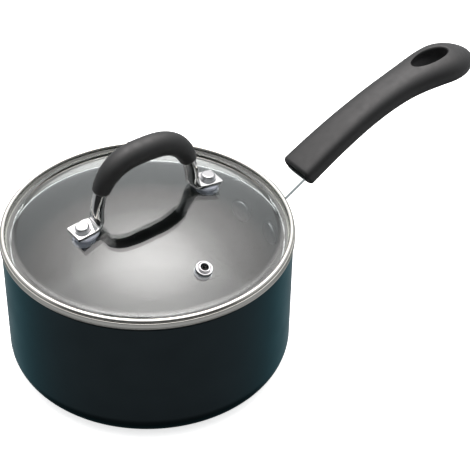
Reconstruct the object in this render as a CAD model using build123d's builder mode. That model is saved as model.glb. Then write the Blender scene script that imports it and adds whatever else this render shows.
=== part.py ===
"""Covered saucepan, 18 cm class: nonstick pan, riveted long handle, glass lid with a chrome arch handle.

Millimetres. The origin is the centre of the pan's flat base, +Z is up and the long handle points
along +X. The lid sits on the rim, turned a few degrees from the long handle.
"""

import os
from math import asin, cos, pi, radians, sin, sqrt

from build123d import *

os.makedirs("parts", exist_ok=True)

# ---------------------------------------------------------------- driving dimensions
gap = 0.05  # air left between pieces of one assembly that touch on curved faces

# pan
pan_height = 91.7
rim_radius = 91.4  # outside, at the rim
base_corner_radius = 88.9  # outside wall line carried down to the base
wall = 2.4
base_thickness = 3.6
outer_corner = 17.5
inner_corner = 15.0
rim_rounding = 0.9
groove_depth = 0.4
groove_width = 1.6

# joint between the pan and the long handle
rivet_height = 61.4
rivet_angle = 9.9  # each side of the handle, seen from the pan's axis
rivet_shank = 3.0
rivet_head_radius = 7.8
rivet_head_height = 2.4
plate_thickness = 2.5
plate_width = 46.0
plate_drop = 26.0
strap_width = 15.5

# long handle grip
grip_start = 119.5
end_start = 238.0  # where the hanging end starts to round off
grip_tip = 266.0
section_step = 17.0
end_turns = (20, 38, 54, 67)
sleeve_wall = 2.6
slot_centre = 231.0
slot_length = 29.6
slot_width = 13.2

# lid
lid_turn = -3.0
glass_radius = 90.2
glass_thickness = 4.0
glass_rim_bottom = 93.0
glass_shoulder = 84.0  # where the dome meets the flat rim of the glass
dome_apex = 118.5
sheet = 0.7  # stainless sheet of the rim band
band_radius = 92.0
skirt_radius = 87.3
skirt_bottom = 84.4

# lid handle
foot_lean = 7.0  # slope of the tabs, flatter than the glass under them
foot_shift = -0.5  # the handle stands a little off the lid's centre
foot_radius = 45.6
arch_shift = -1.0
arch_half_width = 35.0
arch_power = 2.73
arch_base = 112.0
arch_rise = 46.5
leg_foot_across = 35.5
leg_foot_height = 117.0
leg_angle = 11.0  # where the legs take over from the arch
rod_radius = 3.9
tab_width = 14.4
tab_length = 14.0
tab_thickness = 2.0
tab_corner = 1.2
swage_length = 7.0
swage_width = 9.5
swage_height = 3.6
sleeve_from = 26.0  # the soft sleeve runs between these angles of the arch
sleeve_to = 152.0
sleeve_end_radius = 5.3
sleeve_fullness = 2.4

# lid handle fasteners
lid_shank = 2.4
lid_head_radius = 5.2
lid_head_step = 0.9
lid_cap_radius = 4.5
lid_cap_height = 2.0
lid_tail_radius = 4.0
lid_tail_height = 1.5
spacer_radius = 8.5
spacer_thickness = 2.8
spacer_inset = 1.3  # towards the middle of the lid
lid_gasket_radius = 7.2
lid_gasket_thickness = 1.8
lid_washer_radius = 6.6
lid_washer_thickness = 1.2

# steam vent
vent_radius = 63.4
vent_bore = 2.4
vent_flange = 5.7


def save(block, node):
    """Label a finished piece and write its STEP file under the node's name."""
    block.part.label = node
    export_step(block.part, f"parts/{node}.step")


def wall_radius(height):
    """Outside radius of the straight pan wall at a height."""
    return base_corner_radius + (rim_radius - base_corner_radius) * height / pan_height


# ---------------------------------------------------------------- pan body
groove_radii = [18 + 13 * ring for ring in range(4)]


def nearest_corner(corners, x, y):
    """The corner of a profile that lies closest to a place in its sketch."""
    return min(corners, key=lambda corner: abs(corner.X - x) + abs(corner.Y - y))


def rivet_plane(side, radius):
    """Plane square to the wall at one handle rivet, its normal pointing away from the pan."""
    turn = radians(side * rivet_angle)
    return Plane(
        origin=(radius * cos(turn), radius * sin(turn), rivet_height),
        x_dir=(-sin(turn), cos(turn), 0),
        z_dir=(cos(turn), sin(turn), 0),
    )


wall_at_rivets = wall_radius(rivet_height)

with BuildPart() as pan_body:
    with BuildSketch(Plane.XZ):
        with BuildLine():
            Polyline(
                (0, 0),
                (base_corner_radius, 0),
                (rim_radius, pan_height),
                (rim_radius - wall, pan_height),
                (base_corner_radius - wall, base_thickness),
                (0, base_thickness),
                close=True,
            )
        make_face()
        fillet(nearest_corner(vertices(), base_corner_radius, 0), outer_corner)
        fillet(nearest_corner(vertices(), base_corner_radius - wall, base_thickness), inner_corner)
        fillet(vertices().sort_by(Axis.Y)[-2:], rim_rounding)
    revolve(axis=Axis.Z)
    # turned rings in the base, for grip on the hob
    with BuildSketch(Plane.XZ):
        for radius in groove_radii:
            with Locations((radius, 0)):
                Rectangle(groove_width, 2 * groove_depth)
    revolve(axis=Axis.Z, mode=Mode.SUBTRACT)
    for side in (-1, 1):
        with BuildSketch(rivet_plane(side, wall_at_rivets - 2 * wall)):
            Circle(rivet_shank + gap)
        extrude(amount=4 * wall, mode=Mode.SUBTRACT)
save(pan_body, "pan_body")

# ---------------------------------------------------------------- long handle centre line
# height of the grip's centre line: it rises steeply from the pan and levels off to the hanging end
centre_points = [
    (96.0, 73.3),
    (121.0, 85.8),
    (144.5, 97.4),
    (168.0, 107.2),
    (191.5, 114.6),
    (215.0, 119.0),
    (238.5, 120.2),
    (grip_tip, 116.5),
]
centre_line = Spline(*[(x, 0, z) for x, z in centre_points])


# ---------------------------------------------------------------- handle bracket
strap_points = [
    (wall_at_rivets + plate_thickness / 2 + gap, rivet_height - 6),
    (wall_at_rivets + plate_thickness / 2 + 0.3, 70.8),
    *centre_points[1:6],
]
strap_bends = [7, 60, 60, 60, 60]
with BuildPart() as handle_bracket:
    # curved plate that lies on the pan wall, trimmed to a rounded outline
    with BuildSketch(Plane.XZ):
        with BuildLine():
            low, high = rivet_height - plate_drop / 2, rivet_height + plate_drop / 2
            Polyline(
                (wall_radius(low) + gap, low),
                (wall_radius(high) + gap, high),
                (wall_radius(high) + gap + plate_thickness, high),
                (wall_radius(low) + gap + plate_thickness, low),
                close=True,
            )
        make_face()
    revolve(axis=Axis.Z, revolution_arc=360)
    with BuildSketch(Plane.YZ.offset(60)):
        with Locations((0, rivet_height)):
            RectangleRounded(plate_width, plate_drop, 9)
    extrude(amount=60, mode=Mode.INTERSECT)
    # strap that bends out of the plate and runs on as the tang inside the grip
    with BuildSketch(Plane.XZ):
        with BuildLine():
            FilletPolyline(*strap_points, radius=strap_bends)
        trace(line_width=plate_thickness)
    extrude(amount=strap_width / 2, both=True)
    # the pan wall itself is kept clear
    with BuildSketch(Plane.XZ):
        with BuildLine():
            Polyline(
                (0, 30),
                (wall_radius(30) + gap, 30),
                (wall_radius(90) + gap, 90),
                (0, 90),
                close=True,
            )
        make_face()
    revolve(axis=Axis.Z, mode=Mode.SUBTRACT)
    for side in (-1, 1):
        with BuildSketch(rivet_plane(side, wall_at_rivets - 5)):
            Circle(rivet_shank + gap)
        extrude(amount=12, mode=Mode.SUBTRACT)
save(handle_bracket, "handle_bracket")

# ---------------------------------------------------------------- handle rivets
inside_face = wall_at_rivets - wall
for side, side_name in ((-1, "right"), (1, "left")):
    seat = inside_face - 1.2
    with BuildPart() as pan_rivet:
        # low domed head inside the pan
        with BuildSketch(rivet_plane(side, seat + 1.8)):
            Circle(rivet_head_radius)
        extrude(amount=-1.8 - rivet_head_height + 0.6)
        fillet(faces().sort_by(Axis((0, 0, 0), rivet_plane(side, 0).z_dir))[0].edges(), 1.4)
        with BuildSketch(Plane.XZ):
            with BuildLine():
                Polyline(
                    (wall_radius(20) - wall - gap, 20),
                    (wall_radius(91) - wall - gap, 91),
                    (rim_radius + 10, 91),
                    (rim_radius + 10, 20),
                    close=True,
                )
            make_face()
        revolve(axis=Axis.Z, mode=Mode.SUBTRACT)
        # shank and the tail formed over on the bracket
        with BuildSketch(rivet_plane(side, inside_face - 1.5)):
            Circle(rivet_shank)
        extrude(amount=1.5 + wall + plate_thickness + 1.0)
        with BuildSketch(rivet_plane(side, wall_at_rivets + plate_thickness + 2 * gap + 0.1)):
            Circle(4.6)
        extrude(amount=1.6, taper=12)
    save(pan_rivet, f"pan_rivet_{side_name}")


# ---------------------------------------------------------------- grip: rigid core and soft sleeve
# half width and half thickness of the soft grip along the handle, up to where its end starts to round off
grip_plan = Spline(
    (grip_start, 12.9, 7.3),
    (148.0, 12.3, 7.6),
    (177.0, 11.8, 8.1),
    (206.0, 12.8, 9.0),
    (end_start, 15.2, 9.8),
    tangents=[(1, -0.02, 0.01), (1, 0, 0)],
)


def curve_place(curve, x):
    """Parameter of a curve's point at a place along the handle."""
    low, high = 0.0, 1.0
    for _ in range(40):
        middle = (low + high) / 2
        if (curve @ middle).X < x:
            low = middle
        else:
            high = middle
    return low


def grip_section(x, inset):
    """Cross-section of the grip at a place along the handle, drawn in by an inset."""
    size = grip_plan @ curve_place(grip_plan, min(x, end_start - 0.01))
    rounding = sqrt(1 - max(0.0, (x - end_start) / (grip_tip - end_start)) ** 2)
    half_width = size.Y * rounding - inset
    half_thickness = size.Z * (0.35 + 0.65 * rounding) - inset
    place = curve_place(centre_line, x)
    plane = Plane(origin=centre_line @ place, x_dir=(0, 1, 0), z_dir=centre_line % place)
    with BuildSketch(plane) as outline:
        RectangleRounded(2 * half_width, 2 * half_thickness, 0.84 * min(half_thickness, half_width))
    return outline.sketch


def grip_outlines(inset, start, stop):
    """Cross-sections of the grip between two places: even along it, then closer as its end rounds off."""
    steps = round((end_start - start) / section_step)
    along = [start + (end_start - start) * step / steps for step in range(steps + 1)]
    rounding_off = [end_start + (grip_tip - end_start) * sin(radians(turn)) for turn in end_turns]
    places = [*along, *[x for x in rounding_off if x < stop - 1.5], stop]
    return [grip_section(x, inset) for x in places]


def slot_outline(grow):
    """Hanging slot: a long oval, drawn below the grip."""
    with BuildSketch(Plane.XY.offset(slot_floor)) as outline:
        with Locations((slot_centre, 0)):
            Ellipse(slot_length / 2 + grow, slot_width / 2 + grow)
    return outline.sketch


def strap_outline(clearance):
    """Side view of the strap and its tang, drawn out by a clearance."""
    with BuildSketch(Plane.XZ) as outline:
        with BuildLine():
            FilletPolyline(*strap_points, radius=strap_bends)
        trace(line_width=plate_thickness + 2 * clearance)
    return outline.sketch


slot_floor = 95.0
slot_height = 60.0
ledge = 1.2  # the core stands back from the sleeve round the hanging slot
core_start = grip_start + 4
core_stop = grip_tip - 6
with BuildPart() as handle_core:
    loft(grip_outlines(sleeve_wall + gap, core_start, core_stop))
    extrude(slot_outline(ledge), amount=slot_height, mode=Mode.SUBTRACT)
    extrude(strap_outline(gap), amount=strap_width / 2 + gap, both=True, mode=Mode.SUBTRACT)
save(handle_core, "handle_core")

with BuildPart() as core_room:
    loft(grip_outlines(sleeve_wall, core_start - gap, core_stop + gap))
    extrude(slot_outline(ledge - gap), amount=slot_height, mode=Mode.SUBTRACT)

with BuildPart() as handle_grip:
    loft(grip_outlines(0, grip_start, grip_tip - 0.3))
    fillet(faces().sort_by(Axis.X)[0].edges(), 1.2)
    extrude(slot_outline(0), amount=slot_height, mode=Mode.SUBTRACT)
    add(core_room.part, mode=Mode.SUBTRACT)
    extrude(strap_outline(gap), amount=strap_width / 2 + gap, both=True, mode=Mode.SUBTRACT)
save(handle_grip, "handle_grip")

# ---------------------------------------------------------------- glass lid
glass_top = glass_rim_bottom + glass_thickness
sagitta = dome_apex - glass_top
dome_radius = (glass_shoulder**2 + sagitta**2) / (2 * sagitta)
dome_centre = dome_apex - dome_radius
inner_radius = dome_radius - glass_thickness
inner_shoulder = sqrt(inner_radius**2 - (glass_rim_bottom - dome_centre) ** 2)


def lid_plane(angle, radius, lift):
    """Plane square to the glass at a place on its top face, lifted along the normal."""
    tilt = asin(radius / dome_radius)
    turn = radians(angle + lid_turn)
    reach = (dome_radius + lift) * sin(tilt)
    height = dome_centre + (dome_radius + lift) * cos(tilt)
    return Plane(
        origin=(reach * cos(turn), reach * sin(turn), height),
        x_dir=(cos(tilt) * cos(turn), cos(tilt) * sin(turn), -sin(tilt)),
        z_dir=(sin(tilt) * cos(turn), sin(tilt) * sin(turn), cos(tilt)),
    )


feet = (("left", 180, foot_radius - foot_shift), ("right", 0, foot_radius + foot_shift))
vent_angle = -90


def foot_plane(angle, radius, lift, inward=0.0):
    """Plane of a lid handle foot: through the glass surface, leaning outward, lifted along its normal."""
    seat = lid_plane(angle, radius, 0)
    turn, lean = radians(angle + lid_turn), radians(foot_lean)
    outward = Vector(cos(lean) * cos(turn), cos(lean) * sin(turn), -sin(lean))
    normal = Vector(sin(lean) * cos(turn), sin(lean) * sin(turn), cos(lean))
    return Plane(origin=seat.origin + normal * lift - outward * inward, x_dir=outward, z_dir=normal)

with BuildPart() as lid_glass:
    with BuildSketch(Plane.XZ):
        with BuildLine():
            half_top = asin(glass_shoulder / dome_radius) / 2
            half_inner = asin(inner_shoulder / inner_radius) / 2
            ThreePointArc(
                (0, dome_apex),
                (dome_radius * sin(half_top), dome_centre + dome_radius * cos(half_top)),
                (glass_shoulder, glass_top),
            )
            Polyline(
                (glass_shoulder, glass_top),
                (glass_radius, glass_top),
                (glass_radius, glass_rim_bottom),
                (inner_shoulder, glass_rim_bottom),
            )
            ThreePointArc(
                (inner_shoulder, glass_rim_bottom),
                (inner_radius * sin(half_inner), dome_centre + inner_radius * cos(half_inner)),
                (0, dome_centre + inner_radius),
            )
            Line((0, dome_centre + inner_radius), (0, dome_apex))
        make_face()
        bends = sorted(vertices(), key=lambda v: abs(v.X - glass_shoulder))[:2]
        fillet(bends, 7)
        edge_corners = sorted(vertices(), key=lambda v: -v.X)[:2]
        fillet(edge_corners, 1.2)
    revolve(axis=Axis.Z)
    for _, angle, reach in feet:
        with BuildSketch(foot_plane(angle, reach, 5)):
            Circle(lid_shank + 0.5)
        extrude(amount=-14, mode=Mode.SUBTRACT)
    with BuildSketch(lid_plane(vent_angle, vent_radius, 5)):
        Circle(vent_bore + 1.0)
    extrude(amount=-14, mode=Mode.SUBTRACT)
save(lid_glass, "lid_glass")

# ---------------------------------------------------------------- stainless rim band
# one rolled sheet: lip over the glass, flared outer wall, floor under the glass, skirt into the pan
half_sheet = sheet / 2
lip_height = glass_top + 0.3 + half_sheet
floor_height = glass_rim_bottom - 0.1 - half_sheet
with BuildPart() as lid_rim_band:
    with BuildSketch(Plane.XZ):
        with BuildLine():
            FilletPolyline(
                (87.9, lip_height - 0.15),
                (89.4, lip_height + 0.25),
                (91.1, lip_height + 0.1),
                (90.8, 95.4),
                (band_radius - half_sheet, floor_height),
                (skirt_radius, floor_height),
                (skirt_radius, skirt_bottom),
                radius=[0.8, 0.9, 0.8, 0.42, 0.8],
            )
        trace(line_width=sheet)
        # rolled hem at the foot of the skirt
        with Locations((skirt_radius, skirt_bottom)):
            Circle(0.62)
    revolve(axis=Axis.Z)
save(lid_rim_band, "lid_rim_band")

# ---------------------------------------------------------------- lid handle: chrome arch
lid_frame = Plane(origin=(0, 0, 0), x_dir=(cos(radians(lid_turn)), sin(radians(lid_turn)), 0), z_dir=(0, 0, 1))
arch_side = Plane(origin=(0, 0, 0), x_dir=lid_frame.x_dir, z_dir=-lid_frame.y_dir)


def arch_point(turn):
    """Point of the arch's centre line in its own upright plane, for an angle from 0 to 180 degrees."""
    across, up = cos(radians(turn)), sin(radians(turn))
    x = arch_half_width * (1 if across > 0 else -1) * abs(across) ** (2 / arch_power)
    return x + arch_shift, arch_base + arch_rise * up ** (2 / arch_power)


arch_turns = [leg_angle + (180 - 2 * leg_angle) * step / 12 for step in range(13)]
arch_curve = [arch_point(turn) for turn in arch_turns]
tab_lift = spacer_thickness + gap
with BuildLine(arch_side) as arch_wire:
    Spline(
        (leg_foot_across + arch_shift, leg_foot_height),
        *arch_curve,
        (-leg_foot_across + arch_shift, leg_foot_height),
    )
arch_path = arch_wire.wires()[0]
arch_start = Plane(origin=arch_path @ 0, z_dir=arch_path % 0)

with BuildPart() as lid_handle_arch:
    with BuildSketch(arch_start):
        Circle(rod_radius)
    sweep(path=arch_path)
    for _, angle, reach in feet:
        # flattened end of the rod, pressed out to a square tab
        with BuildSketch(foot_plane(angle, reach, tab_lift)):
            Rectangle(tab_length, tab_width)
            fillet(vertices(), tab_corner)
        extrude(amount=tab_thickness)
        # the swage that carries the round leg into the tab
        with BuildSketch(foot_plane(angle, reach, tab_lift, inward=tab_length / 2 + 1.5)):
            Rectangle(swage_length, swage_width)
        extrude(amount=swage_height, taper=18)
    for _, angle, reach in feet:
        with BuildSketch(foot_plane(angle, reach, -4)):
            Rectangle(40, 40)
        extrude(amount=tab_lift + 4, mode=Mode.SUBTRACT)
        with BuildSketch(foot_plane(angle, reach, tab_lift - 1)):
            Circle(lid_shank + gap)
        extrude(amount=tab_thickness + 2, mode=Mode.SUBTRACT)
save(lid_handle_arch, "lid_handle_arch")

# soft sleeve on the arch, thickest at the middle
sleeve_span = sleeve_to - sleeve_from
with BuildPart() as lid_handle_sleeve:
    for step in range(15):
        turn = sleeve_from + sleeve_span * step / 14
        ahead, behind = arch_point(turn + 1), arch_point(turn - 1)
        centre = arch_side.from_local_coords(Vector(*arch_point(turn), 0))
        tangent = arch_side.from_local_coords(Vector(*ahead, 0)) - arch_side.from_local_coords(Vector(*behind, 0))
        with BuildSketch(Plane(origin=centre, x_dir=lid_frame.y_dir, z_dir=tangent)):
            Circle(sleeve_end_radius + sleeve_fullness * sin(pi * step / 14) ** 0.8)
    loft()
    ends = faces().filter_by(GeomType.PLANE)
    fillet(ends.edges(), 0.8)
    with BuildSketch(arch_start):
        Circle(rod_radius + gap)
    sweep(path=arch_path, mode=Mode.SUBTRACT)
save(lid_handle_sleeve, "lid_handle_sleeve")

# ---------------------------------------------------------------- lid handle fasteners
glass_depth = glass_thickness / cos(radians(foot_lean))
head_seat = tab_lift + tab_thickness + gap
washer_seat = -glass_depth - lid_gasket_thickness - gap
tail_seat = washer_seat - lid_washer_thickness - gap
for foot_name, angle, reach in feet:
    # clear wedge between the glass and the tab
    with BuildPart() as lid_spacer:
        with BuildSketch(foot_plane(angle, reach, -4, inward=spacer_inset)):
            Circle(spacer_radius)
        extrude(amount=spacer_thickness + 4)
        fillet(edges().filter_by(GeomType.CIRCLE).sort_by(Axis.Z)[-1], 0.6)
        with BuildSketch(foot_plane(angle, reach, -5)):
            Circle(lid_shank + 0.3)
        extrude(amount=12, mode=Mode.SUBTRACT)
        with BuildSketch(Plane.XZ):
            with BuildLine():
                outer_skin = dome_radius + gap
                half_way = asin(70 / outer_skin)
                ThreePointArc(
                    (0, dome_centre + outer_skin),
                    (outer_skin * sin(half_way / 2), dome_centre + outer_skin * cos(half_way / 2)),
                    (70, dome_centre + outer_skin * cos(half_way)),
                )
                Polyline(
                    (70, dome_centre + outer_skin * cos(half_way)),
                    (70, 60),
                    (0, 60),
                    (0, dome_centre + outer_skin),
                )
            make_face()
        revolve(axis=Axis.Z, mode=Mode.SUBTRACT)
    save(lid_spacer, f"lid_spacer_{foot_name}")

    with BuildPart() as lid_rivet:
        with BuildSketch(foot_plane(angle, reach, head_seat)):
            Circle(lid_head_radius)
        extrude(amount=lid_head_step)
        with BuildSketch(foot_plane(angle, reach, head_seat + lid_head_step)):
            Circle(lid_cap_radius)
        extrude(amount=lid_cap_height)
        fillet(faces().sort_by(Axis((0, 0, 0), foot_plane(angle, reach, 0).z_dir))[-1].edges(), 1.2)
        with BuildSketch(foot_plane(angle, reach, head_seat)):
            Circle(lid_shank)
        extrude(amount=tail_seat - head_seat)
        with BuildSketch(foot_plane(angle, reach, tail_seat)):
            Circle(lid_tail_radius)
        extrude(amount=-lid_tail_height, taper=15)
    save(lid_rivet, f"lid_rivet_{foot_name}")

    with BuildPart() as lid_gasket:
        with BuildSketch(foot_plane(angle, reach, -glass_depth + 1.5)):
            Circle(lid_gasket_radius)
            Circle(lid_shank + 0.3, mode=Mode.SUBTRACT)
        extrude(amount=-1.5 - lid_gasket_thickness)
        add(lid_glass.part, mode=Mode.SUBTRACT)
        for chip in solids().sort_by(SortBy.VOLUME)[:-1]:
            add(chip, mode=Mode.SUBTRACT)
    save(lid_gasket, f"lid_gasket_{foot_name}")

    with BuildPart() as lid_washer:
        with BuildSketch(foot_plane(angle, reach, washer_seat)):
            Circle(lid_washer_radius)
            Circle(lid_shank + 0.1, mode=Mode.SUBTRACT)
        extrude(amount=-lid_washer_thickness)
    save(lid_washer, f"lid_washer_{foot_name}")

# ---------------------------------------------------------------- steam vent
vent_top = lid_plane(vent_angle, vent_radius, 0)
vent_side = Plane(origin=vent_top.origin, x_dir=vent_top.x_dir, z_dir=-vent_top.y_dir)
vent_axis = Axis(vent_top.origin, vent_top.z_dir)
tube_wall = 0.5
with BuildPart() as vent_eyelet:
    with BuildSketch(vent_side):
        with BuildLine():
            FilletPolyline(
                (vent_flange, 0.45),
                (4.3, 0.95),
                (3.5, 1.7),
                (vent_bore + tube_wall / 2, 1.5),
                (vent_bore + tube_wall / 2, -glass_thickness - 2.2),
                (4.6, -glass_thickness - 2.2),
                radius=[0.6, 0.5, 0.4, 0.4],
            )
        trace(line_width=tube_wall)
    revolve(axis=vent_axis)
save(vent_eyelet, "vent_eyelet")

with BuildPart() as vent_gasket:
    with BuildSketch(vent_side):
        with Locations((4.3, -glass_thickness - 0.65)):
            Rectangle(2.6, 1.0)
    revolve(axis=vent_axis)
save(vent_gasket, "vent_gasket")

with BuildPart() as vent_washer:
    with BuildSketch(vent_side):
        with Locations((4.4, -glass_thickness - 1.55)):
            Rectangle(2.6, 0.6)
    revolve(axis=vent_axis)
save(vent_washer, "vent_washer")
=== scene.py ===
"""Covered saucepan: satin black nonstick pan, soft-grip handle, domed glass lid with a chrome arch handle.

Metres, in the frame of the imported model: origin at the centre of the base, +Z up, long handle along +X.
"""
from math import asin, atan2, copysign, cos, degrees, pi, radians, sin, sqrt

import bmesh
import bpy
from mathutils import Matrix, Vector


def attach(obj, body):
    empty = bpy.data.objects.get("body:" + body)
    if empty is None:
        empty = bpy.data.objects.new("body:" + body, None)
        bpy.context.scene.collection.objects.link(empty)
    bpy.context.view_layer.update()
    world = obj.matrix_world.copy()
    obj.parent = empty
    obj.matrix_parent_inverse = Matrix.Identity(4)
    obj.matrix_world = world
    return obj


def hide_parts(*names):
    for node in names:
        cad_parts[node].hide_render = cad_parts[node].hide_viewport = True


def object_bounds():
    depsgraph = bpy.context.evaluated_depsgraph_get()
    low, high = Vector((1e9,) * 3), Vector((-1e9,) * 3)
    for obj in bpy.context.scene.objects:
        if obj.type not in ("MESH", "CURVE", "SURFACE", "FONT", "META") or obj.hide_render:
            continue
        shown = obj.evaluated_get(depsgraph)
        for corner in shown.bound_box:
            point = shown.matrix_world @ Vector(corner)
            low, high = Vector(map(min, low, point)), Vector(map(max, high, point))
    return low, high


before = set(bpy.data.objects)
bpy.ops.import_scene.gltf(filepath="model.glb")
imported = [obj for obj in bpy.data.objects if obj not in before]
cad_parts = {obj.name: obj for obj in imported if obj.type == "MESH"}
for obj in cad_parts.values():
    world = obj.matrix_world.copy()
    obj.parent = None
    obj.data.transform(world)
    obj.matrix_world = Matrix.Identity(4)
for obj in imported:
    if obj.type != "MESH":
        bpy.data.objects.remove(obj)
cad_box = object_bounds()
MM = 0.001

# ---------------------------------------------------------------- camera and light
VIEW_AZIMUTH = radians(-37.5)
VIEW_ELEVATION = radians(38.07)
VIEW_DISTANCE = 1.6762
VIEW_TARGET = Vector((0.0719, 0.0039, 0.0552))
LENS = 198.3


def add_camera():
    """Long lens from the front left, looking down on the lid."""
    data = bpy.data.cameras.new("camera")
    data.lens = LENS
    data.sensor_width = 36.0
    data.clip_end = 20.0
    camera = bpy.data.objects.new("camera", data)
    back = Vector(
        (
            sin(VIEW_AZIMUTH) * cos(VIEW_ELEVATION),
            -cos(VIEW_AZIMUTH) * cos(VIEW_ELEVATION),
            sin(VIEW_ELEVATION),
        )
    )
    camera.location = VIEW_TARGET + VIEW_DISTANCE * back
    camera.rotation_euler = back.to_track_quat("Z", "Y").to_euler()
    bpy.context.scene.collection.objects.link(camera)
    bpy.context.scene.camera = camera


# where the sky is brightest, and the light at places away from it: cosine of the angle between, light
LOBE_AZIMUTH, LOBE_ELEVATION = radians(52.0), radians(71.0)
SKY_STOPS = [
    (0.0, 0.50),
    (0.20, 0.72),
    (0.50, 0.85),
    (0.643, 1.12),
    (0.766, 1.85),
    (0.866, 2.8),
    (0.940, 4.7),
    (1.0, 8.6),
]
WARM_FROM = 1.5
WARM, COOL = Vector((1.0, 0.97, 0.965)), Vector((0.96, 0.985, 1.0))


def eased_range(nodes, start, end, low=0.0, high=1.0):
    """Node that goes smoothly from low to high while its value goes from start to end."""
    node = nodes.new("ShaderNodeMapRange")
    node.interpolation_type = "SMOOTHSTEP"
    node.inputs["From Min"].default_value = start
    node.inputs["From Max"].default_value = end
    node.inputs["To Min"].default_value = low
    node.inputs["To Max"].default_value = high
    return node


def add_world():
    """Soft overhead light, brightest high behind the pan, dark at the level of the camera's side and below."""
    world = bpy.data.worlds.new("studio")
    bpy.context.scene.world = world
    world.use_nodes = True
    nodes, links = world.node_tree.nodes, world.node_tree.links
    background = nodes["Background"]
    brightest = SKY_STOPS[-1][1]
    background.inputs["Strength"].default_value = brightest
    coordinates = nodes.new("ShaderNodeTexCoord")
    direction = coordinates.outputs["Generated"]

    toward = nodes.new("ShaderNodeVectorMath")
    toward.operation = "DOT_PRODUCT"
    toward.inputs[1].default_value = (
        cos(LOBE_ELEVATION) * cos(LOBE_AZIMUTH),
        cos(LOBE_ELEVATION) * sin(LOBE_AZIMUTH),
        sin(LOBE_ELEVATION),
    )
    ramp = nodes.new("ShaderNodeValToRGB")
    ramp.color_ramp.interpolation = "LINEAR"
    elements = ramp.color_ramp.elements
    while len(elements) < len(SKY_STOPS):
        elements.new(0.5)
    for element, (place, light) in zip(elements, SKY_STOPS):
        element.position = place
        tint = WARM if light > WARM_FROM else COOL
        element.color = (*(tint * light / brightest), 1)
    links.new(direction, toward.inputs[0])
    links.new(toward.outputs["Value"], ramp.inputs["Fac"])

    front = nodes.new("ShaderNodeVectorMath")
    front.operation = "DOT_PRODUCT"
    front.inputs[1].default_value = (sin(VIEW_AZIMUTH), -cos(VIEW_AZIMUTH), 0.0)
    apart = nodes.new("ShaderNodeSeparateXYZ")
    level = nodes.new("ShaderNodeMath")
    level.operation = "ABSOLUTE"
    facing = eased_range(nodes, 0.15, 0.55)
    near_level = eased_range(nodes, 0.54, 0.42)
    both = nodes.new("ShaderNodeMapRange")
    dimmed = nodes.new("ShaderNodeMapRange")
    dimmed.inputs["To Min"].default_value = 1.0
    dimmed.inputs["To Max"].default_value = 0.06
    deep = eased_range(nodes, -0.82, -0.66, low=0.12)
    total = nodes.new("ShaderNodeMath")
    total.operation = "MULTIPLY"
    shade = nodes.new("ShaderNodeVectorMath")
    shade.operation = "SCALE"
    links.new(direction, front.inputs[0])
    links.new(direction, apart.inputs["Vector"])
    links.new(front.outputs["Value"], facing.inputs["Value"])
    links.new(apart.outputs["Z"], level.inputs[0])
    links.new(level.outputs["Value"], near_level.inputs["Value"])
    links.new(near_level.outputs["Result"], both.inputs["Value"])
    links.new(facing.outputs["Result"], both.inputs["To Max"])
    links.new(both.outputs["Result"], dimmed.inputs["Value"])
    links.new(apart.outputs["Z"], deep.inputs["Value"])
    links.new(deep.outputs["Result"], total.inputs[0])
    links.new(dimmed.outputs["Result"], total.inputs[1])
    links.new(ramp.outputs["Color"], shade.inputs[0])
    links.new(total.outputs["Value"], shade.inputs["Scale"])
    links.new(shade.outputs["Vector"], background.inputs["Color"])


def add_floor():
    """Plain pale floor just under the pan, left out of mirror reflections."""
    mesh = bpy.data.meshes.new("floor")
    size = 4.0
    level = cad_box[0][2] - 0.1 * MM
    mesh.from_pydata(
        [(-size, -size, level), (size, -size, level), (size, size, level), (-size, size, level)],
        [],
        [(0, 1, 2, 3)],
    )
    floor = bpy.data.objects.new("floor", mesh)
    bpy.context.scene.collection.objects.link(floor)
    paint = Paint("floor_paint", (0.85, 0.85, 0.85), roughness=0.9, specular=0.2)
    paint.set("Emission Color", (1.0, 1.0, 1.0, 1.0))
    paint.set("Emission Strength", 0.7)
    mesh.materials.append(paint.material)
    floor.visible_glossy = False


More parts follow.
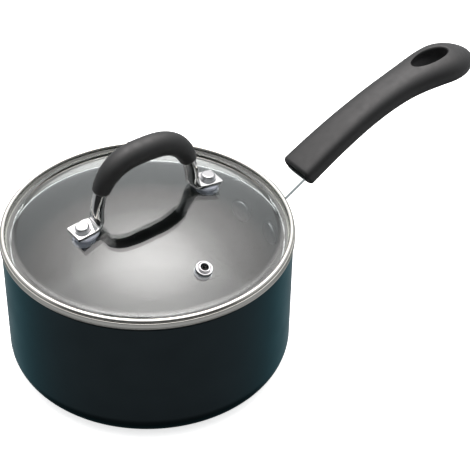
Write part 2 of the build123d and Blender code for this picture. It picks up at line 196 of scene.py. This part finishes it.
# ---------------------------------------------------------------- node materials
class Paint:
    """A node material: one Principled shader, and the nodes that feed it."""

    def __init__(self, name, colour, metallic=0.0, roughness=0.5, specular=0.5, ior=1.5):
        self.material = bpy.data.materials.new(name)
        self.material.use_nodes = True
        tree = self.material.node_tree
        self.nodes, self.links = tree.nodes, tree.links
        self.shader = self.nodes["Principled BSDF"]
        self.set("Base Color", (*colour, 1.0))
        self.set("Metallic", metallic)
        self.set("Roughness", roughness)
        self.set("Specular IOR Level", specular)
        self.set("IOR", ior)

    def set(self, socket, value):
        self.shader.inputs[socket].default_value = value

    def node(self, kind, **settings):
        node = self.nodes.new("ShaderNode" + kind)
        for name, value in settings.items():
            setattr(node, name, value)
        return node

    def place(self, stretch=(1.0, 1.0, 1.0)):
        """Position in the object, in metres, stretched along each axis."""
        coordinates = self.node("TexCoord")
        scale = self.node("VectorMath", operation="MULTIPLY")
        scale.inputs[1].default_value = stretch
        self.links.new(coordinates.outputs["Object"], scale.inputs[0])
        return scale.outputs["Vector"]

    def noise(self, scale, detail=2.0, stretch=(1.0, 1.0, 1.0), source=None):
        """Noise with a given number of grains per metre."""
        texture = self.node("TexNoise")
        texture.inputs["Scale"].default_value = scale
        texture.inputs["Detail"].default_value = detail
        self.links.new(source or self.place(stretch), texture.inputs["Vector"])
        return texture.outputs["Fac"]

    def turned(self, along, across):
        """Place on a turned piece: slow along the circle, quick across it."""
        coordinates = self.node("TexCoord")
        flat = self.node("VectorMath", operation="MULTIPLY")
        flat.inputs[1].default_value = (1.0, 1.0, 0.0)
        direction = self.node("VectorMath", operation="NORMALIZE")
        slow = self.node("VectorMath", operation="SCALE")
        slow.inputs["Scale"].default_value = along
        radius = self.node("VectorMath", operation="LENGTH")
        apart = self.node("SeparateXYZ")
        total = self.node("Math", operation="ADD")
        quick = self.node("Math", operation="MULTIPLY")
        quick.inputs[1].default_value = across
        joined = self.node("CombineXYZ")
        place = self.node("VectorMath", operation="ADD")
        link = self.links.new
        link(coordinates.outputs["Object"], flat.inputs[0])
        link(flat.outputs["Vector"], direction.inputs[0])
        link(direction.outputs["Vector"], slow.inputs[0])
        link(flat.outputs["Vector"], radius.inputs[0])
        link(coordinates.outputs["Object"], apart.inputs["Vector"])
        link(radius.outputs["Value"], total.inputs[0])
        link(apart.outputs["Z"], total.inputs[1])
        link(total.outputs["Value"], quick.inputs[0])
        link(quick.outputs["Value"], joined.inputs["Z"])
        link(slow.outputs["Vector"], place.inputs[0])
        link(joined.outputs["Vector"], place.inputs[1])
        return place.outputs["Vector"]

    def spread(self, factor, low, high, socket):
        """Feed a socket with a value that runs from low to high as the factor goes over its middle."""
        mapped = self.node("MapRange")
        mapped.inputs["From Min"].default_value = 0.3
        mapped.inputs["From Max"].default_value = 0.7
        mapped.inputs["To Min"].default_value = low
        mapped.inputs["To Max"].default_value = high
        self.links.new(factor, mapped.inputs["Value"])
        self.links.new(mapped.outputs["Result"], self.shader.inputs[socket])

    def tint(self, factor, first, second):
        """Mix two colours into the base colour."""
        mix = self.node("Mix", data_type="RGBA")
        mix.inputs["A"].default_value = (*first, 1.0)
        mix.inputs["B"].default_value = (*second, 1.0)
        self.links.new(factor, mix.inputs["Factor"])
        self.links.new(mix.outputs["Result"], self.shader.inputs["Base Color"])

    def bump(self, height, depth):
        """Relief of a given depth in metres."""
        relief = self.node("Bump")
        relief.inputs["Distance"].default_value = depth
        self.links.new(height, relief.inputs["Height"])
        self.links.new(relief.outputs["Normal"], self.shader.inputs["Normal"])


def make_exterior_coat():
    """Satin black outer coat with a faint orange-peel."""
    paint = Paint("exterior_coat", (0.033, 0.043, 0.048), metallic=1.0, roughness=0.30)
    paint.set("Specular Tint", (0.54, 0.76, 0.82, 1.0))
    paint.spread(paint.noise(60, 3), 0.28, 0.33, "Roughness")
    paint.bump(paint.noise(500, 2), 0.000006)
    return paint.material


def make_nonstick():
    """Dark grey nonstick with painted light: lighter on the floor of the pan, where more light falls, than on
    its wall.
    """
    paint = Paint("nonstick", (0.03, 0.031, 0.032), roughness=0.42, specular=0.4)
    # painted light: the coat is a lighter grey up to 9 mm high and fades to the wall's darker grey by 16 mm,
    # for the light the pan's floor catches
    height = paint.node("SeparateXYZ")
    floor = paint.node("MapRange")
    floor.inputs["From Min"].default_value = 0.009
    floor.inputs["From Max"].default_value = 0.016
    paint.links.new(paint.place(), height.inputs["Vector"])
    paint.links.new(height.outputs["Z"], floor.inputs["Value"])
    paint.tint(floor.outputs["Result"], (0.088, 0.086, 0.086), (0.020, 0.021, 0.022))
    return paint.material


def make_brushed_steel():
    """Stainless steel, spun: fine lines round the axis."""
    paint = Paint("brushed_steel", (0.56, 0.545, 0.515), metallic=1.0, roughness=0.14)
    paint.set("Specular Tint", (0.42, 0.44, 0.42, 1.0))
    lines = paint.noise(1.0, 3, source=paint.turned(6.0, 3000.0))
    paint.spread(lines, 0.11, 0.17, "Roughness")
    return paint.material


def make_skirt_steel_painted_shade():
    """Dull inner face of the band, below the glass, with its steel colour darkened as painted shade."""
    paint = Paint("skirt_steel_painted_shade", (0.17, 0.17, 0.145), metallic=1.0, roughness=0.34)
    paint.spread(paint.noise(1.0, 3, source=paint.turned(6.0, 3000.0)), 0.3, 0.38, "Roughness")
    return paint.material


def make_chrome():
    """Bright chrome with hairline wear."""
    paint = Paint("chrome", (0.62, 0.62, 0.62), metallic=1.0, roughness=0.03)
    paint.spread(paint.noise(120, 4), 0.02, 0.05, "Roughness")
    return paint.material


def make_handle_steel():
    """Satin stainless strip, brushed along its length."""
    paint = Paint("handle_steel", (0.58, 0.63, 0.63), metallic=1.0, roughness=0.12)
    lines = paint.noise(1.0, 3, (300.0, 3000.0, 3000.0))
    paint.spread(lines, 0.09, 0.15, "Roughness")
    return paint.material


def make_silicone(name, colour, roughness):
    """Soft matt moulding with a fine grain."""
    paint = Paint(name, colour, roughness=roughness, specular=0.5)
    paint.spread(paint.noise(250, 3), roughness - 0.05, roughness + 0.05, "Roughness")
    paint.bump(paint.noise(5200, 2), 0.00003)
    return paint.material


def make_glass():
    """Clear tempered glass with a faint green cast."""
    paint = Paint("lid_glass", (0.93, 0.97, 0.955), roughness=0.0, ior=1.5)
    paint.set("Transmission Weight", 1.0)
    return paint.material


def make_clear_plastic():
    """Clear moulded spacer."""
    paint = Paint("clear_plastic", (0.62, 0.65, 0.74), roughness=0.15, ior=1.47)
    paint.set("Transmission Weight", 0.45)
    return paint.material


def make_core():
    """Moulded black nylon."""
    paint = Paint("handle_nylon", (0.012, 0.012, 0.013), roughness=0.5)
    paint.bump(paint.noise(3000, 2), 0.00002)
    return paint.material


def make_rivet_coat():
    """Nonstick over a rivet head, polished by the press."""
    paint = Paint("rivet_coat", (0.24, 0.24, 0.25), metallic=1.0, roughness=0.06)
    paint.spread(paint.noise(200, 2), 0.05, 0.08, "Roughness")
    return paint.material


def make_rivet_steel():
    """Bright turned stainless steel."""
    paint = Paint("rivet_steel", (0.50, 0.50, 0.51), metallic=1.0, roughness=0.12)
    paint.spread(paint.noise(500, 3), 0.09, 0.16, "Roughness")
    return paint.material


def make_ground_base():
    """Bare aluminium under the pan, ground in circles."""
    paint = Paint("ground_base", (0.55, 0.55, 0.55), metallic=1.0, roughness=0.4)
    lines = paint.noise(1.0, 3, source=paint.turned(5.0, 5000.0))
    paint.spread(lines, 0.3, 0.5, "Roughness")
    paint.bump(lines, 0.00001)
    return paint.material


exterior_coat = make_exterior_coat()
nonstick = make_nonstick()
brushed_steel = make_brushed_steel()
skirt_steel_painted_shade = make_skirt_steel_painted_shade()
chrome = make_chrome()
handle_steel = make_handle_steel()
grip_silicone = make_silicone("grip_silicone", (0.0078, 0.0078, 0.0081), 0.5)
glass = make_glass()
clear_plastic = make_clear_plastic()
core_nylon = make_core()
rivet_coat = make_rivet_coat()
rivet_steel = make_rivet_steel()
ground_base = make_ground_base()


# ---------------------------------------------------------------- mesh tools
def add_piece(name, vertices, faces, materials, sharp=32.0):
    """A smooth-shaded mesh object, in metres from millimetres; edges over the sharp angle stay crisp."""
    mesh = bpy.data.meshes.new(name)
    mesh.from_pydata([(x * MM, y * MM, z * MM) for x, y, z in vertices], [], faces)
    bm = bmesh.new()
    bm.from_mesh(mesh)
    bmesh.ops.remove_doubles(bm, verts=bm.verts, dist=MM * 0.001)
    bmesh.ops.recalc_face_normals(bm, faces=bm.faces)
    bm.to_mesh(mesh)
    bm.free()
    mesh.shade_smooth()
    mesh.set_sharp_from_angle(angle=radians(sharp))
    for material in materials:
        mesh.materials.append(material)
    piece = bpy.data.objects.new(name, mesh)
    bpy.context.scene.collection.objects.link(piece)
    return piece


def place_piece(piece, body, finish, *nodes):
    """Let a piece ride on its body in place of CAD nodes."""
    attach(piece, body)
    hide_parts(*nodes)


def joined_rings(rings, closed):
    """Faces between rings of equal length, with the ends capped unless the rings close on themselves."""
    count, around = len(rings), len(rings[0])
    faces = []
    for ring in range(count if closed else count - 1):
        low, high = ring * around, (ring + 1) % count * around
        for step in range(around):
            after = (step + 1) % around
            faces.append((low + step, low + after, high + after, high + step))
    if not closed:
        faces.append(tuple(range(around)))
        faces.append(tuple(range((count - 1) * around, count * around)))
    return faces


def loft(name, rings, materials, closed=False, sharp=32.0):
    """Skin over a row of rings."""
    vertices = [point for ring in rings for point in ring]
    return add_piece(name, vertices, joined_rings(rings, closed), materials, sharp)


def lathe(name, outline, materials, steps=240, sharp=32.0):
    """Turn a closed outline of (radius, height) points about the pan's axis."""
    rings = []
    for step in range(steps):
        turn = 2 * pi * step / steps
        rings.append([(radius * cos(turn), radius * sin(turn), height) for radius, height in outline])
    return loft(name, rings, materials, closed=True, sharp=sharp)


def eased(points, rounds=3, closed=False):
    """Cut the corners of a line again and again until it is smooth."""
    for _ in range(rounds):
        pairs = list(zip(points, points[1:] + points[:1] if closed else points[1:]))
        cut = []
        for start, end in pairs:
            cut.append(tuple(0.75 * p + 0.25 * q for p, q in zip(start, end)))
            cut.append(tuple(0.25 * p + 0.75 * q for p, q in zip(start, end)))
        points = cut if closed else [points[0], *cut, points[-1]]
    return points


def sheet_outline(path, thickness):
    """Closed outline of a sheet that follows a line, half its thickness to each side."""
    left, right = [], []
    for place, point in enumerate(path):
        before, after = path[max(place - 1, 0)], path[min(place + 1, len(path) - 1)]
        along = Vector((after[0] - before[0], after[1] - before[1])).normalized()
        left.append((point[0] - along.y * thickness / 2, point[1] + along.x * thickness / 2))
        right.append((point[0] + along.y * thickness / 2, point[1] - along.x * thickness / 2))
    return left + right[::-1]


def arc(centre, radius, start, end, steps):
    """Points on an arc, angles in degrees."""
    turns = [radians(start + (end - start) * step / steps) for step in range(steps + 1)]
    return [(centre[0] + radius * cos(turn), centre[1] + radius * sin(turn)) for turn in turns]


# ---------------------------------------------------------------- pan
RIM_RADIUS, BASE_RADIUS, PAN_HEIGHT = 91.4, 88.9, 91.7
WALL, BASE_THICKNESS = 2.4, 3.6
OUTER_CORNER, INNER_CORNER = 17.5, 15.0


def wall_radius(height):
    """Outside radius of the straight pan wall at a height."""
    return BASE_RADIUS + (RIM_RADIUS - BASE_RADIUS) * height / PAN_HEIGHT


def make_pan():
    """Pressed aluminium shell: coated outside, nonstick inside, ground base with turned rings."""
    lean = degrees(atan2(RIM_RADIUS - BASE_RADIUS, PAN_HEIGHT))
    bottom = []
    for ring in range(4):
        radius = 18.0 + 13.0 * ring
        bottom += [(radius - 0.8, 0.0), (radius - 0.6, 0.4), (radius + 0.6, 0.4), (radius + 0.8, 0.0)]
    outer_centre = (wall_radius(OUTER_CORNER) - OUTER_CORNER, OUTER_CORNER)
    outside = arc(outer_centre, OUTER_CORNER, -90, -lean, 20)
    outside += [(wall_radius(height), height) for height in (35.0, 55.0, 75.0, 90.6)]
    rim = arc((RIM_RADIUS - WALL / 2, PAN_HEIGHT - WALL / 2), WALL / 2, 0, 180, 10)
    inner_centre_height = BASE_THICKNESS + INNER_CORNER
    inner_centre = (wall_radius(inner_centre_height) - WALL - INNER_CORNER, inner_centre_height)
    inside = [(wall_radius(height) - WALL, height) for height in (88.0, 70.0, 50.0, 30.0)]
    inside += arc(inner_centre, INNER_CORNER, -lean, -90, 20)
    inside += [(45.0, BASE_THICKNESS), (0.0, BASE_THICKNESS)]
    outline = [(0.0, 0.0), *bottom, *outside, *rim, *inside]
    piece = lathe("pan_shell", outline, [exterior_coat, nonstick, ground_base])
    skin = WALL / 2
    for face in piece.data.polygons:
        middle = face.center / MM
        radius, height = middle.xy.length, middle.z
        if height < OUTER_CORNER and radius > outer_centre[0]:
            from_centre = Vector((radius - outer_centre[0], height - OUTER_CORNER)).length
            inside_pan = from_centre < OUTER_CORNER - skin
        else:
            inside_pan = radius < wall_radius(height) - skin and height > BASE_THICKNESS / 2
        if inside_pan:
            face.material_index = 1
        elif height < 0.6 and radius < outer_centre[0] - 2:
            face.material_index = 2
    place_piece(piece, "pan", "nonstick_aluminium", "pan_body")


# ---------------------------------------------------------------- long handle
HANDLE_LIFT = 1.6
GRIP_START, GRIP_END_START, GRIP_TIP = 119.5, 238.0, 264.5
SLOT_CENTRE, SLOT_HALF_LENGTH, SLOT_HALF_WIDTH = 230.0, 14.8, 6.6
SLOT_CROWN = 0.012  # how fast the slot's edge drops towards the sides of the grip
# place along the handle, height of its middle line
CENTRE_POINTS = [
    (96.0, 73.3),
    (121.0, 85.8),
    (144.5, 97.4),
    (168.0, 107.2),
    (191.5, 114.6),
    (215.0, 119.0),
    (238.5, 120.2),
    (266.0, 116.5),
]
# place along the handle, half width, half thickness, squareness of the section
GRIP_PLAN = [
    (119.5, 12.9, 7.4, 3.6),
    (148.0, 12.3, 7.7, 3.1),
    (177.0, 11.8, 8.2, 2.7),
    (206.0, 12.8, 9.1, 2.4),
    (238.0, 16.9, 10.9, 2.2),
    (270.0, 16.9, 10.9, 2.2),
]


def between(table, x):
    """Values of a table at a place, on a smooth curve through its rows."""
    index = max(place for place in range(len(table) - 1) if table[place][0] <= x or place == 0)
    rows = [table[min(max(index + shift, 0), len(table) - 1)] for shift in (-1, 0, 1, 2)]
    share = (x - rows[1][0]) / (rows[2][0] - rows[1][0])
    values = []
    for a, b, c, d in zip(*(row[1:] for row in rows)):
        bend = 2 * a - 5 * b + 4 * c - d + share * (3 * (b - c) + d - a)
        values.append(b + 0.5 * share * (c - a + share * bend))
    return values


def handle_ring(x, half_width, half_thickness, square, around=72):
    """Superellipse section square to the handle's middle line."""
    z = between(CENTRE_POINTS, x)[0] + HANDLE_LIFT
    slope = between(CENTRE_POINTS, x + 0.5)[0] - between(CENTRE_POINTS, x - 0.5)[0]
    along = Vector((1.0, slope)).normalized()
    ring = []
    for step in range(around):
        turn = 2 * pi * step / around
        across = copysign(abs(cos(turn)) ** (2 / square), cos(turn)) * half_width
        out = copysign(abs(sin(turn)) ** (2 / square), sin(turn)) * half_thickness
        ring.append((x - along.y * out, across, z + along.x * out))
    return ring


def grip_ring(x, inset=0.0):
    """Section of the grip at a place, drawn in by an inset; it closes on an ellipse at the tip."""
    half_width, half_thickness, square = between(GRIP_PLAN, x)
    closing = sqrt(max(0.0, 1 - max(0.0, (x - GRIP_END_START) / (GRIP_TIP - GRIP_END_START)) ** 2))
    return handle_ring(
        x,
        half_width * closing - inset,
        half_thickness * (0.2 + 0.8 * closing) * min(1.0, closing * 3) - inset,
        square,
    )


END_ROLL = 2.2  # rounding of the grip's near end
RECESS = 2.0  # depth of the hollow round the strap


def make_slot_cutter():
    """Long oval plug that flares where it leaves the grip, with a groove round its middle."""
    # height from the middle of the grip, growth of the oval there
    upper = [(5.2, 1.7), (5.3, 0.0), (9.0, 0.0), (9.8, 0.2), (10.5, 0.7), (11.0, 1.5), (15.0, 2.5)]
    lower = [(-height, grow) for height, grow in upper[::-1]]
    middle = between(CENTRE_POINTS, SLOT_CENTRE)[0] + HANDLE_LIFT
    rings = []
    for height, grow in lower + upper:
        ring = []
        for step in range(72):
            turn = 2 * pi * step / 72
            x = SLOT_CENTRE + (SLOT_HALF_LENGTH + grow) * cos(turn)
            y = (SLOT_HALF_WIDTH + grow) * sin(turn)
            sag = between(CENTRE_POINTS, x)[0] + HANDLE_LIFT - middle - copysign(SLOT_CROWN * y * y, height)
            ring.append((x, y, middle + height + sag))
        rings.append(ring)
    return loft("slot_cutter", rings, [grip_silicone], sharp=60)


def make_grip():
    """Soft grip: rolled near end, hollow round the strap, swelling to a rounded end with a hanging slot."""
    rings = [
        grip_ring(GRIP_START + RECESS, 6.4),
        grip_ring(GRIP_START + RECESS, 2.9),
        grip_ring(GRIP_START + 0.4, 2.7),
    ]
    for turn in range(90, -1, -15):
        away = END_ROLL * (1 - sin(radians(turn)))
        rings.append(grip_ring(GRIP_START + away, END_ROLL * (1 - cos(radians(turn)))))
    first = GRIP_START + END_ROLL
    places = [first + (GRIP_END_START - first) * step / 44 for step in range(1, 45)]
    end_length = GRIP_TIP - GRIP_END_START
    places += [GRIP_END_START + end_length * sin(radians(turn)) for turn in range(5, 90, 5)]
    places.append(GRIP_TIP - 0.02)
    rings += [grip_ring(x) for x in places]
    piece = loft("grip", rings, [grip_silicone], sharp=60)
    cutter = make_slot_cutter()
    cut = piece.modifiers.new("slot", "BOOLEAN")
    cut.object = cutter
    cut.solver = "EXACT"
    solid = piece.evaluated_get(bpy.context.evaluated_depsgraph_get())
    mesh = bpy.data.meshes.new_from_object(solid)
    piece.modifiers.clear()
    piece.data = mesh
    bpy.data.objects.remove(cutter)
    mesh.shade_smooth()
    mesh.set_sharp_from_angle(angle=radians(50))
    place_piece(piece, "pan", "grip_silicone", "handle_grip")


# ---------------------------------------------------------------- lid band
def make_rim_band():
    """Rolled stainless band: a round bead over the glass, a crease, the flared wall and the skirt."""
    path = [
        (89.1, 96.9),
        (88.95, 97.7),
        (89.4, 98.35),
        (90.3, 98.55),
        (91.2, 98.2),
        (91.6, 97.4),
        (91.4, 96.8),
        (90.85, 96.55),
        (90.75, 96.3),
        (90.9, 96.1),
        (91.7, 96.05),
        (91.9, 95.9),
        (91.9, 95.6),
        (91.9, 94.0),
        (91.9, 92.6),
        (90.6, 92.4),
        (88.4, 92.4),
        (87.35, 92.3),
        (87.3, 90.6),
        (87.0, 88.0),
        (86.2, 86.2),
        (85.7, 85.4),
    ]
    outline = sheet_outline(eased(path, 2), 0.55)
    band = lathe("rim_band", outline, [brushed_steel, skirt_steel_painted_shade], sharp=50)
    # painted shade: the channel floor and skirt under the glass take the darkened copy of the band's steel
    for face in band.data.polygons:
        middle = face.center / MM
        if middle.xy.length < 90.5 and middle.z < 93.5:
            face.material_index = 1
    place_piece(band, "lid", "band_steel", "lid_rim_band")
    hem = lathe("rim_hem", arc((91.75, 92.4), 0.55, 0, 345, 23), [brushed_steel])
    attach(hem, "lid")
    foot = lathe("skirt_hem", arc((85.5, 85.0), 0.9, 0, 345, 23), [rivet_steel])
    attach(foot, "lid")


# ---------------------------------------------------------------- lid handle
LID_TURN = radians(-3.0)
DOME_RADIUS, DOME_APEX = 174.8, 118.5
FOOT_RADIUS, FOOT_SHIFT, FOOT_LEAN = 45.6, -0.5, radians(7.0)
TAB_LIFT, TAB_THICKNESS = 2.85, 2.0
ARCH_HALF_WIDTH, ARCH_SHIFT, ARCH_BASE, ARCH_RISE = 35.0, -1.0, 112.0, 46.5
ARCH_POWER = 2 / 2.73
CORNER_SLACK = 0.4  # keeps the flats of a section flat next to its corners


def in_lid(x, y, z):
    """Turn a point of the lid into the model's frame."""
    return (x * cos(LID_TURN) - y * sin(LID_TURN), x * sin(LID_TURN) + y * cos(LID_TURN), z)


def glass_height(radius):
    """Top of the glass dome at a distance from its middle."""
    return DOME_APEX - DOME_RADIUS + sqrt(DOME_RADIUS**2 - radius**2)


def arch_point(turn):
    """Point (x, z) of the arch's centre line, for an angle from 0 to 180 degrees."""
    across, up = cos(radians(turn)), sin(radians(turn))
    x = ARCH_SHIFT + ARCH_HALF_WIDTH * copysign(abs(across) ** ARCH_POWER, across)
    return x, ARCH_BASE + ARCH_RISE * up**ARCH_POWER


def rounded_rectangle(half_across, half_out, corner):
    """Points (across, out) of a rounded rectangle, with one more on the flat at each side of a corner."""
    ring = []
    for quarter in range(4):
        side_across = 1 if quarter in (0, 3) else -1
        side_out = 1 if quarter < 2 else -1
        middle = (side_across * (half_across - corner), side_out * (half_out - corner))
        along_across = side_across * min(CORNER_SLACK, (half_across - corner) / 2)
        along_out = side_out * min(CORNER_SLACK, (half_out - corner) / 2)
        turns = [radians(90 * quarter + 90 * step / 8) for step in range(9)]
        points = [(middle[0] + corner * cos(turn), middle[1] + corner * sin(turn)) for turn in turns]
        (first_across, first_out), (last_across, last_out) = points[0], points[-1]
        if quarter % 2 == 0:
            before, after = (first_across, first_out - along_out), (last_across - along_across, last_out)
        else:
            before, after = (first_across - along_across, first_out), (last_across, last_out - along_out)
        ring += [before, *points, after]
    return ring


def section_ring(path, place, half_across, half_thick, corner):
    """Rounded-rectangle section of a bar that bends in the arch's plane."""
    x, z = path[place]
    before, after = path[max(place - 1, 0)], path[min(place + 1, len(path) - 1)]
    along = Vector((after[0] - before[0], after[1] - before[1])).normalized()
    section = rounded_rectangle(half_across, half_thick, corner)
    return [in_lid(x - along.y * out, across, z + along.x * out) for across, out in section]


# distance out from the rivet, half width, half thickness, corner
TAB_SECTIONS = [
    (7.0, 6.3, 0.75, 0.2),
    (6.9, 6.7, 0.95, 0.25),
    (6.6, 7.05, 1.0, 0.25),
    (6.2, 7.25, 1.0, 0.25),
    (5.8, 7.3, 1.0, 0.25),
    (0.0, 7.3, 1.0, 0.25),
    (-4.6, 7.3, 1.0, 0.25),
    (-5.6, 7.2, 1.05, 0.3),
]
# half width, half thickness, corner
BEND_SECTIONS = [(6.7, 1.4, 0.8), (6.0, 2.2, 1.6), (5.3, 3.1, 2.6), (4.8, 3.9, 3.6), (4.5, 4.3, 4.2)]
ROD_SECTION = (4.35, 4.35, 4.3)
ARCH_FROM, ARCH_TO = 14, 166  # the arch runs between these angles


def foot_line(side):
    """Middle line of one foot, from the tab's outer edge up into the leg."""
    reach = FOOT_RADIUS + side * FOOT_SHIFT
    lift = TAB_LIFT + TAB_THICKNESS / 2
    centre = Vector((side * (reach + sin(FOOT_LEAN) * lift), glass_height(reach) + cos(FOOT_LEAN) * lift))
    outward = Vector((side * cos(FOOT_LEAN), -sin(FOOT_LEAN)))
    tab = [centre + outward * step for step, *_ in TAB_SECTIONS]
    leg_x, leg_z = arch_point(8.0 if side > 0 else 172.0)
    bend = [
        Vector((leg_x + side * 2.6, centre.y + 0.75)),
        Vector((leg_x + side * 1.2, centre.y + 1.9)),
        Vector((leg_x + side * 0.4, centre.y + 3.6)),
        Vector((leg_x + side * 0.1, centre.y + 5.6)),
        Vector((leg_x, leg_z + 1.2)),
    ]
    return [tuple(point) for point in tab + bend]


def make_arch():
    """Chrome rod whose ends are flattened and pressed out to square tabs."""
    right, left = foot_line(1), foot_line(-1)
    turns = [ARCH_FROM + (ARCH_TO - ARCH_FROM) * step / 60 for step in range(61)]
    path = right + [arch_point(turn) for turn in turns] + left[::-1]
    foot_sections = [tuple(section) for _, *section in TAB_SECTIONS] + BEND_SECTIONS
    sections = foot_sections + [ROD_SECTION] * len(turns) + foot_sections[::-1]
    rings = [section_ring(path, place, *section) for place, section in enumerate(sections)]
    piece = loft("lid_arch", rings, [chrome], sharp=50)
    place_piece(piece, "lid", "chrome", "lid_handle_arch")


SLEEVE_FROM, SLEEVE_TO = 26.0, 152.0
SLEEVE_END, SLEEVE_FULLNESS = 5.4, 2.4
SLEEVE_ROUNDING, ROUNDING_SHARE = 0.9, 0.016


def make_sleeve():
    """Soft sleeve on the arch, thickest at the middle, with rounded ends."""
    steps = 64
    shares = [step / steps for step in range(steps + 1)]
    path = [arch_point(SLEEVE_FROM + (SLEEVE_TO - SLEEVE_FROM) * share) for share in shares]
    outer = []
    for place, share in enumerate(shares):
        radius = SLEEVE_END + SLEEVE_FULLNESS * sin(pi * share) ** 0.7
        from_end = min(share, 1 - share) / ROUNDING_SHARE
        if from_end < 1:
            radius -= SLEEVE_ROUNDING * (1 - sqrt(1 - (1 - from_end) ** 2))
        outer.append(section_ring(path, place, radius, radius, radius - 0.05))
    inner = [section_ring(path, place, *ROD_SECTION) for place in range(steps, -1, -1)]
    piece = loft("lid_sleeve", outer + inner, [grip_silicone], closed=True, sharp=60)
    place_piece(piece, "lid", "grip_silicone", "lid_handle_sleeve")


SPACER_SHIFT, SPACER_BORE, SPACER_RADIUS = 1.9, 2.45, 8.7


def make_spacers():
    """Clear spacer disc under each tab, seated on the dome, its rim further in than its rivet hole."""
    outline = [
        (SPACER_BORE, 0.05),
        (SPACER_RADIUS - 0.8, 0.1),
        (SPACER_RADIUS - 0.2, 0.4),
        (SPACER_RADIUS, 1.2),
        (SPACER_RADIUS - 0.2, 2.2),
        (SPACER_RADIUS - 0.8, 2.7),
        (SPACER_BORE, 2.82),
    ]
    for side, name in ((1, "right"), (-1, "left")):
        reach = FOOT_RADIUS + side * FOOT_SHIFT
        seat = Matrix.Translation((side * reach, 0.0, glass_height(reach)))
        seat = seat @ Matrix.Rotation(side * FOOT_LEAN, 4, "Y")
        rings = []
        for step in range(72):
            turn = 2 * pi * step / 72
            points = []
            for r, z in outline:
                inward = 0.0 if r == SPACER_BORE else -side * SPACER_SHIFT
                points.append(in_lid(*(seat @ Vector((r * cos(turn) + inward, r * sin(turn), z)))))
            rings.append(points)
        piece = loft("spacer_" + name, rings, [clear_plastic], closed=True)
        place_piece(piece, "lid", "clear_plastic", "lid_spacer_" + name)


# ---------------------------------------------------------------- steam vent
VENT_RADIUS = 63.4


def make_vent():
    """Pressed eyelet: rolled flange on the glass, a groove, the collar and the bore through the lid."""
    path = [
        (5.3, 0.3),
        (5.25, 1.1),
        (4.85, 1.4),
        (4.45, 1.1),
        (4.3, 0.5),
        (3.7, 0.5),
        (3.6, 1.6),
        (3.3, 2.5),
        (2.8, 2.5),
        (2.5, 1.8),
        (2.45, 0.5),
        (2.45, -5.9),
        (3.2, -6.25),
        (4.6, -6.3),
    ]
    outline = sheet_outline(eased(path, 2), 0.4)
    tilt = asin(VENT_RADIUS / DOME_RADIUS)
    seat = Matrix.Translation((VENT_RADIUS, 0.0, glass_height(VENT_RADIUS))) @ Matrix.Rotation(tilt, 4, "Y")
    around = Matrix.Rotation(LID_TURN - pi / 2, 4, "Z") @ seat
    rings = []
    for step in range(64):
        turn = 2 * pi * step / 64
        rings.append([tuple(around @ Vector((r * cos(turn), r * sin(turn), z))) for r, z in outline])
    piece = loft("vent_collar", rings, [rivet_steel], closed=True, sharp=50)
    place_piece(piece, "lid", "rivet_steel", "vent_eyelet")


# ---------------------------------------------------------------- carried-over CAD nodes
CAD_MATERIALS = {
    "handle_bracket": handle_steel,
    "pan_rivet_left": rivet_coat,
    "pan_rivet_right": rivet_coat,
    "handle_core": core_nylon,
    "lid_glass": glass,
    "lid_rivet_left": rivet_steel,
    "lid_rivet_right": rivet_steel,
    "lid_gasket_left": clear_plastic,
    "lid_gasket_right": clear_plastic,
    "lid_washer_left": rivet_steel,
    "lid_washer_right": rivet_steel,
    "vent_gasket": clear_plastic,
    "vent_washer": rivet_steel,
}

for node, material in CAD_MATERIALS.items():
    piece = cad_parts[node]
    piece.data.materials.clear()
    piece.data.materials.append(material)

make_pan()
make_grip()
make_rim_band()
make_arch()
make_sleeve()
make_spacers()
make_vent()
add_camera()
add_world()
add_floor()
bpy.context.scene.view_settings.view_transform = "Standard"
